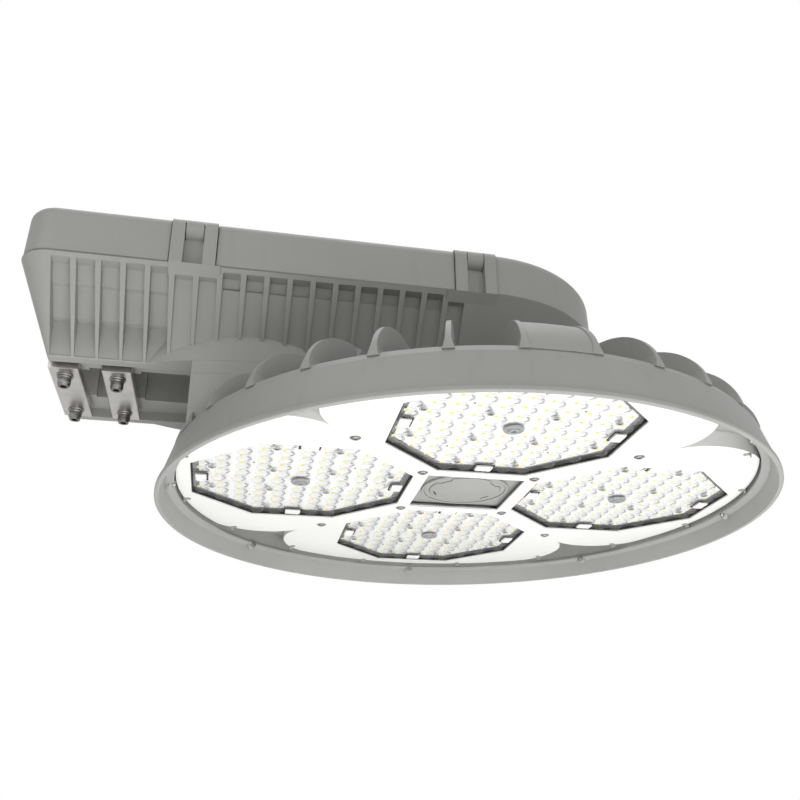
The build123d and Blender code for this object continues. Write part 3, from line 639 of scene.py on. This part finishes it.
# White snap tabs that bridge the seal at the middle of each flat, between slots drawn as dark pads of
# painted shade
def lensTabs(k):
    tabs = bmesh.new()
    slots = bmesh.new()
    slotX, slotY = tabFacts["endSlotPlace"]
    for side in range(4):
        place = down(moduleCentre(k)) @ spun(side * math.pi / 2) @ at(tabFacts["reach"], 0, 0)
        pad(tabs, *tabFacts["tab"], place)
        for y in tabFacts["ribs"]:
            pad(tabs, *tabFacts["rib"], place @ at(0, y, 0))
        for y in (-slotY, slotY):
            pad(slots, *tabFacts["endSlot"], place @ at(slotX, y, 0))
        pad(slots, *tabFacts["innerSlot"], place @ at(tabFacts["innerSlotPlace"], 0, 0))
    seat(f"tabSlotShades_{k}", slots, "seal_rubber", look=paintedShadeLook)
    seat(f"lensTabs_{k}", tabs, "board_white", look=looks["tray_white"])


sealFacts = {
    "inner": 217.8 * mm,       # across the flats
    "outer": 220.7 * mm,
    "below": 1.2 * mm,         # how far the lip stays above the tray's face
    "high": 2.8 * mm,
    "lip": 0.4 * mm,
}


# The black seal that lines the tray's window round each lens plate
def windowSeal(k):
    centre = moduleCentre(k)
    bm = bmesh.new()
    corner = 2 * math.cos(math.pi / 8)
    inner = sealFacts["inner"] / corner
    outer = sealFacts["outer"] / corner
    low = trayPlane + sealFacts["below"] - centre.z
    high = low + sealFacts["high"]
    lip = sealFacts["lip"]
    hoop(bm, [(inner + lip, low), (outer - lip, low), (outer, low + lip), (outer, high),
              (inner, high), (inner, low + lip)], 8, at(*centre), math.pi / 8)
    piece = seat(f"windowSeal_{k}", bm, "seal_rubber")
    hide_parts(f"lens_seal_{k}")


for k in range(1, 5):
    lensDomes(k)
    lensShadeCrescents(k)
    dies(k)
    boss(k)
    lensScrews(k)
    lensTabs(k)
    windowSeal(k)
print("lens modules built")

trayScrewFacts = {
    "pitches": [117.8 * mm, 277.8 * mm],   # the inner and the outer square of screws
    "head": 3.9 * mm,
    "high": 1.3 * mm,
    "socket": 1.7 * mm,
    "deep": 1.2 * mm,
    "lift": 0.3 * mm,          # how far the head stands clear in its washer
    "washer": inMm((5.4, 0), (5.4, 0.3), (5.0, 0.5), (4.0, 0.5)),
    "shank": inMm((2.4, -8), (2.4, 0.2)),
}


def trayScrews():
    bm = bmesh.new()
    tray = Vector((headAxis.x, headAxis.y, trayPlane))
    for pitch in trayScrewFacts["pitches"]:
        for x, y in quarters([(pitch / 2, pitch / 2)]):
            place = down(tray, x, y)
            turn(bm, trayScrewFacts["washer"], 32, place)
            headOf(bm, trayScrewFacts, place @ at(0, 0, trayScrewFacts["lift"]))
            turn(bm, trayScrewFacts["shank"], 20, place)
    piece = seat("trayScrewHeads", bm, "stainless")
    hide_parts("tray_screws")


# Places round the lamp head's axis
def around(angle, reach, height):
    return at(headAxis.x, headAxis.y, height) @ spun(angle) @ at(reach, 0, 0)


clipFacts = {
    "lobes": 4,
    "places": [(-34.5, 293 * mm), (-12.6, 301 * mm), (12.6, 301 * mm), (34.5, 293 * mm)],   # degrees, reach
    "wide": 5.5 * mm,
    "tongue": (5.0 * mm, 0.9 * mm, 0.25 * mm, -2.2 * mm),   # length, height, edge and place outwards
    "hook": (1.8 * mm, 3.4 * mm, 0.4 * mm, 0.6 * mm),
    "tail": (3.0 * mm, 1.5 * mm, 0.25 * mm, -4.4 * mm),     # half as wide as the others
}


# Spring clips that hook the tray's edge to the bead in the rim
def trayClips():
    bm = bmesh.new()
    wide = clipFacts["wide"]
    parts = [(wide, clipFacts["tongue"]), (wide, clipFacts["hook"]), (wide / 2, clipFacts["tail"])]
    for lobe in range(clipFacts["lobes"]):
        for degrees, reach in clipFacts["places"]:
            turned = math.radians(360 / clipFacts["lobes"] * lobe + degrees)
            place = around(turned, reach, trayPlane) @ flipped
            for across, (long, high, edge, out) in parts:
                pad(bm, long, across, high, edge, place @ at(out, 0, 0))
    seat("trayClips", bm, "casting_paint")


wallScrewFacts = {
    "count": 8,
    "reach": 303.5 * mm,
    "height": 19.0 * mm,       # above the rim's plane
    "boss": inMm((6.4, -4), (5.4, -0.6), (4.9, 0), (0, 0)),
    "head": 3.4 * mm,
    "high": 2.2 * mm,
    "socket": 1.5 * mm,
    "deep": 1.3 * mm,
}


# Screws through the bead, each on a small boss
def wallScrews():
    bosses = bmesh.new()
    bm = bmesh.new()
    inward = Matrix.Rotation(-math.pi / 2, 4, "Y")
    for step in range(wallScrewFacts["count"]):
        angle = 2 * math.pi * step / wallScrewFacts["count"]
        place = around(angle, wallScrewFacts["reach"], rimPlane + wallScrewFacts["height"]) @ inward
        turn(bosses, wallScrewFacts["boss"], 28, place)
        headOf(bm, wallScrewFacts, place)
    seat("wallBosses", bosses, "casting_paint")
    seat("wallScrews", bm, "stainless")


trayScrews()
trayClips()
wallScrews()
print("tray dressed")

# A round cover with a raised brim and field, two notches in the field's edge and two short slots; dark
# bands along the edges and dark pads in the slots are painted shade
capFacts = {
    "radius": 46.8 * mm,
    "lift": 3.0 * mm,          # from the solid cap's lowest plane up to the cover's back
    "steps": 96,
    "brim": inMm((0, 0), (0, 2.1), (0.6, 2.6), (2.4, 2.6), (2.9, 1.7), (2.9, 0)),   # inset, height
    "floor": (2.85 * mm, 1.6 * mm),   # inset, height
    "draft": 0.999,            # the floor's back, as a share of its front
    "field": 38 * mm,          # the raised field's radius
    "fieldShape": inMm((0, 1.5), (0, 2.15), (0.6, 2.5)),
    "notch": 4.6 * mm,         # how far the notches cut in
    "notches": [math.radians(40), math.radians(140)],
    "notchSpan": math.radians(26),
    "socketRing": (38.7 * mm, 41.7 * mm),
    "fieldLine": inMm((-0.5, 0.2), (1.6, 1.8)),   # insets of its two sides, its two heights
    "brimLine": inMm((2.4, 3.1), (1.6, 1.85)),
    "slot": (1.6 * mm, 11 * mm, 0.16 * mm, 0.05 * mm),
    "slotPlace": (33 * mm, 2.48 * mm),
    "slots": [math.radians(205), math.radians(325)],
}


def capField(reach):
    outline = []
    for step in range(capFacts["steps"]):
        angle = 2 * math.pi * step / capFacts["steps"]
        out = reach
        for side in capFacts["notches"]:
            if abs((angle - side + math.pi) % (2 * math.pi) - math.pi) < capFacts["notchSpan"] / 2:
                out -= capFacts["notch"]
        outline.append((out * math.cos(angle), out * math.sin(angle)))
    return outline


def capRound(reach):
    angles = [2 * math.pi * step / capFacts["steps"] for step in range(capFacts["steps"])]
    return [(reach * math.cos(angle), reach * math.sin(angle)) for angle in angles]


# A thin band between two outlines
def groove(bm, outer, inner, low, high, place):
    rows = []
    for (xo, yo), (xi, yi) in zip(outer, inner):
        corners = ((xo, yo, low), (xo, yo, high), (xi, yi, high), (xi, yi, low))
        rows.append([bm.verts.new(place @ Vector(corner)) for corner in corners])
    closeRound(bm, rows)


def centreCap():
    low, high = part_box("centre_cap")
    under = low.z + capFacts["lift"]
    top = under - high.z       # the ring's far end, as the place faces down
    place = at(headAxis.x, headAxis.y, under) @ flipped
    bm = bmesh.new()
    whole = capFacts["radius"]
    field = capFacts["field"]
    hoop(bm, [(whole - inset, height) for inset, height in capFacts["brim"]], capFacts["steps"], place)
    inset, height = capFacts["floor"]
    back = capRound(capFacts["draft"] * (whole - inset))
    build(bm, [(back, 0), (capRound(whole - inset), height)], place)
    build(bm, [(capField(field - inset), height) for inset, height in capFacts["fieldShape"]], place)
    inner, outer = capFacts["socketRing"]
    hoop(bm, [(outer, 0), (inner, 0), (inner, top), (outer, top)], 64, place)
    piece = seat("capCover", bm, "casting_paint")
    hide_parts("centre_cap")
    # Dark bands along the field's and the brim's edges and pads in the two slots: painted shade
    lines = bmesh.new()
    for outline, reach, (sides, heights) in ((capField, field, capFacts["fieldLine"]),
                                             (capRound, whole, capFacts["brimLine"])):
        groove(lines, *[outline(reach - inset) for inset in sides], *heights, place)
    reach, height = capFacts["slotPlace"]
    for angle in capFacts["slots"]:
        pad(lines, *capFacts["slot"], place @ spun(angle) @ at(reach, 0, height))
    seat("capSlotAndLineShades", lines, "seal_rubber", look=paintedShadeLook)


centreCap()
print("centre cap built")

# The clamp's socket screws
boltFacts = {
    "head": 6.15 * mm,
    "high": 8 * mm,
    "socket": 3.45 * mm,
    "deep": 4.4 * mm,
    "knurls": 30,
    "knurlDeep": 0.02,         # as a share of the head's radius
    "knurlBand": (0.05, 0.9),  # between these shares of the head's height
    "plain": 14 * mm,          # length of the plain shank between head and thread
    "intoHead": 0.2 * mm,      # how far the shank starts inside the head
    "core": 3.4 * mm,
    "crest": 3.98 * mm,
    "pitch": 1.25 * mm,
    "crestSpan": (0.42, 0.58),  # where the crest lies, as shares of the pitch
    "inside": 0.99,            # the cylinder under the ridge, as a share of the core
    "overlap": 0.4 * mm,       # how far the thread starts inside the plain shank
    "tip": 1.5 * mm,           # how far the ridge ends below the screw's end
}


# A thread as a winding ridge round a cylinder, from one height to another
def thread(bm, low, high, place, steps=20):
    core = boltFacts["core"]
    crest = boltFacts["crest"]
    pitch = boltFacts["pitch"]
    start, end = boltFacts["crestSpan"]
    ridge = [(0, core), (start, crest), (end, crest), (1, core)]
    rows = []
    for i in range(int((high - low) / pitch * steps) + 1):
        angle = 2 * math.pi * i / steps
        rise = low + pitch * i / steps
        rows.append([cornerAt(bm, place, radius, angle, min(rise + pitch * share, high))
                     for share, radius in ridge])
    for row, after in zip(rows, rows[1:]):
        for i in range(len(ridge) - 1):
            bm.faces.new([row[i], row[i + 1], after[i + 1], after[i]])
    inside = boltFacts["inside"] * core
    turn(bm, [(inside, low), (inside, high + pitch)], steps, place)


def knurl(angle, height):
    low, high = boltFacts["knurlBand"]
    if low < height / boltFacts["high"] < high:
        return 1 + boltFacts["knurlDeep"] * math.cos(angle * boltFacts["knurls"])
    return 1


def clampScrew(bm, place, end):
    headOf(bm, boltFacts, place @ flipped, boltFacts["knurls"] * 4, knurl)
    crest = boltFacts["crest"]
    plain = boltFacts["plain"]
    turn(bm, [(crest, -boltFacts["intoHead"]), (crest, plain)], 32, place)
    thread(bm, plain - boltFacts["overlap"], end - boltFacts["tip"], place)


# A split spring washer under the screw head, and a flat one between it and the bar
washerFacts = {
    "bore": 4.3 * mm,
    "spring": 6.8 * mm,
    "springThick": 2.2 * mm,
    "springEdge": 0.3 * mm,
    "under": 0.1 * mm,         # how far it stays clear of the screw head
    "slit": math.radians(14),
    "slitPlace": math.radians(205),
    "slitSteps": 32,
    "flat": 8 * mm,
    "flatThick": 1.6 * mm,
    "flatEdge": (0.4 * mm, 0.3 * mm),   # how far its lower edge is cut, inwards and upwards
    "flatTop": 0.1 * mm,       # how far it stays clear of the bar
}


def washerPair(bm, place):
    bore = washerFacts["bore"]
    r = washerFacts["spring"]
    edge = washerFacts["springEdge"]
    under = washerFacts["under"]
    spring = washerFacts["springThick"]
    slit = washerFacts["slit"]
    section = [(bore, under), (r - edge, under), (r, under + edge), (r, spring - edge - under),
               (r - edge, spring), (bore, spring)]
    rings = []
    for step in range(washerFacts["slitSteps"] + 1):
        run = (2 * math.pi - slit) * step / washerFacts["slitSteps"]
        angle = washerFacts["slitPlace"] + slit / 2 + run
        rings.append([cornerAt(bm, place, radius, angle, height) for radius, height in section])
    skin(bm, rings)
    flat = washerFacts["flat"]
    edgeIn, edgeUp = washerFacts["flatEdge"]
    top = spring + washerFacts["flatThick"] - washerFacts["flatTop"]
    hoop(bm, [(bore, spring), (flat - edgeIn, spring), (flat, spring + edgeUp), (flat, top), (bore, top)],
         48, place)


def clampFixings(k):
    low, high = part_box(f"clamp_bolts_{k}")
    x = (low.x + high.x) / 2
    inset = (high.x - low.x) / 2
    headTop = low.z + boltFacts["high"]
    bm = bmesh.new()
    washers = bmesh.new()
    for y in (low.y + inset, high.y - inset):
        place = at(x, y, headTop)
        clampScrew(bm, place, high.z - headTop)
        washerPair(washers, place)
    body = f"clamp_{k}"
    screws = seat(f"clampScrews_{k}", bm, "stainless", body, darkSteelLook)
    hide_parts(f"clamp_bolts_{k}")
    rings = seat(f"clampRings_{k}", washers, "stainless", body)
    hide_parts(f"clamp_washers_{k}")


for k in (1, 2):
    clampFixings(k)
print("clamp screws built")

# Hinge pins with domed ends and a groove for the retaining ring
pinFacts = {
    "radius": 2.95 * mm,
    "ends": [(0, 0), (0.6, 0.1 * mm), (0.92, 0.5 * mm), (1, 1.0 * mm)],   # share of the radius, depth
    "groove": 2.2 * mm,        # from the end to the groove's middle
    "grooveShare": 0.82,
    "grooveEdge": 0.5 * mm,
    "grooveHalf": 0.4 * mm,
}


def hingePin(k):
    low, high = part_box(f"hinge_pin_{k}")
    middle = (low + high) / 2
    half = (high.x - low.x) / 2
    r = pinFacts["radius"]
    neck = r * pinFacts["grooveShare"]
    start = pinFacts["groove"] - half
    edge = pinFacts["grooveEdge"]
    wide = pinFacts["grooveHalf"]
    side = [(r * share, deep - half) for share, deep in pinFacts["ends"]]
    side += [(r, start - edge), (neck, start - wide), (neck, start + wide), (r, start + edge)]
    bm = bmesh.new()
    turn(bm, side + [(radius, -height) for radius, height in reversed(side)], 28,
         at(*middle) @ Matrix.Rotation(math.pi / 2, 4, "Y"))
    piece = seat(f"hingeRod_{k}", bm, "stainless")
    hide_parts(f"hinge_pin_{k}")


for k in (1, 2):
    hingePin(k)
print("hinge pins built")

cameraFacts = {
    "place": (0.1450, -0.8956, -0.4337),
    "right": (0.97694632, -0.21298989, -0.01453239),
    "down": (0.07486439, 0.40554762, -0.91100299),
    "forward": (0.199928, 0.88891307, 0.41214361),
    "lens": 40.605,            # in mm, as is the sensor's width
    "sensor": 36,
    "farthest": 50,            # in metres
    "shift": (-0.0308, 0.00125),
}


def setCamera():
    data = bpy.data.cameras.new("photoCamera")
    data.lens = cameraFacts["lens"]
    data.sensor_width = cameraFacts["sensor"]
    data.shift_x, data.shift_y = cameraFacts["shift"]
    data.dof.use_dof = False
    data.clip_end = cameraFacts["farthest"]
    camera = bpy.data.objects.new("photoCamera", data)
    columns = [Vector(cameraFacts["right"]), -Vector(cameraFacts["down"]), -Vector(cameraFacts["forward"])]
    turned = Matrix(columns).transposed().to_4x4()
    camera.matrix_world = at(*cameraFacts["place"]) @ turned
    bpy.context.scene.collection.objects.link(camera)
    bpy.context.scene.camera = camera


studioFacts = {
    "floor": -0.85,            # the floor's height
    "floorHalf": 12,
    "floorTone": (240, 240, 238),
    "floorGlow": 0.5,          # how far the camera sees the floor as white
    "mottle": 0.9,             # width of the floor's faint clouds
    "sky": 0.26,               # the light that the surroundings give, apart from what the camera sees
    "white": (1, 1, 1, 1),
}


# 1 where the camera, a reflection or a clear piece shows the surroundings
def directSight(r):
    seen = r.node("ShaderNodeLightPath")
    direct = r.reckon("MAXIMUM", seen.part("Is Camera Ray"), seen.part("Is Glossy Ray"))
    return r.reckon("MAXIMUM", direct, seen.part("Is Transmission Ray"))


# White to the camera and in reflections, and much softer as a source of light
def setWorld():
    world = bpy.data.worlds.new("studio")
    bpy.context.scene.world = world
    r = Recipe("studio", world)
    r.tree.nodes.clear()
    direct = directSight(r)
    tone = studioFacts["white"]
    sky = r.node("ShaderNodeBackground", {}, {"Color": tone, "Strength": studioFacts["sky"]})
    white = r.node("ShaderNodeBackground", {}, {"Color": tone, "Strength": 1.0})
    both = r.node("ShaderNodeMixShader", {}, {0: direct, 1: sky, 2: white})
    r.node("ShaderNodeOutputWorld", {}, {"Surface": both})


def setFloor():
    bm = bmesh.new()
    bmesh.ops.create_grid(bm, x_segments=1, y_segments=1, size=studioFacts["floorHalf"])
    mesh = bpy.data.meshes.new("floor")
    bm.to_mesh(mesh)
    bm.free()
    floor = bpy.data.objects.new("floor", mesh)
    floor.location.z = studioFacts["floor"]
    bpy.context.scene.collection.objects.link(floor)
    r = Recipe("paleFloor", specular=0.1)
    seen = directSight(r)
    glow = r.node("ShaderNodeEmission", {}, {"Color": studioFacts["white"], "Strength": 1.0})
    matt = Signal(r, r.shader.outputs[0])
    both = r.node("ShaderNodeMixShader", {}, {0: seen * studioFacts["floorGlow"], 1: matt, 2: glow})
    r.feed(r.tree.nodes["Material Output"].inputs["Surface"], both)
    mottle = r.grain(studioFacts["mottle"])
    tone = studioFacts["floorTone"]
    mesh.materials.append(r.finish(colour=r.blend(mottle, shade(*tone), shade(*darker(tone, 0.98))),
                                   roughness=0.86 + mottle * 0.08))


# Each lamp's place, the point it is aimed at, its size and its power in watts
lampFacts = {
    "leftLamp": ((-1.3, -1.7, 1.2), (0.3, 0, -0.05), 1.4, 11.5),
    "rightLamp": ((1.9, -1.9, 0.4), (0.3, 0, -0.05), 1.4, 6.5),
    "frontLamp": ((0.3, -2.4, -0.1), (0.3, 0, -0.05), 1.4, 6.8),
    "backLamp": ((0.9, 2.4, 1.1), (0.3, 0, 0), 1.6, 16),
    "topLamp": ((0.3, 0.1, 2.2), (0.3, 0, -0.05), 1.6, 15.5),
    "lowLamp": ((0.4, -0.12, -0.8), (0.36, 0, -0.05), 1.3, 10),
}


def setLamps():
    for name, (place, aim, size, watts) in lampFacts.items():
        data = bpy.data.lights.new(name, "AREA")
        data.energy = watts
        data.size = size
        lamp = bpy.data.objects.new(name, data)
        lamp.location = place
        away = Vector(aim) - Vector(place)
        lamp.rotation_euler = away.to_track_quat("-Z", "Y").to_euler()
        bpy.context.scene.collection.objects.link(lamp)


setCamera()
setWorld()
setFloor()
setLamps()
bpy.context.scene.view_settings.view_transform = "Standard"
print("studio set")
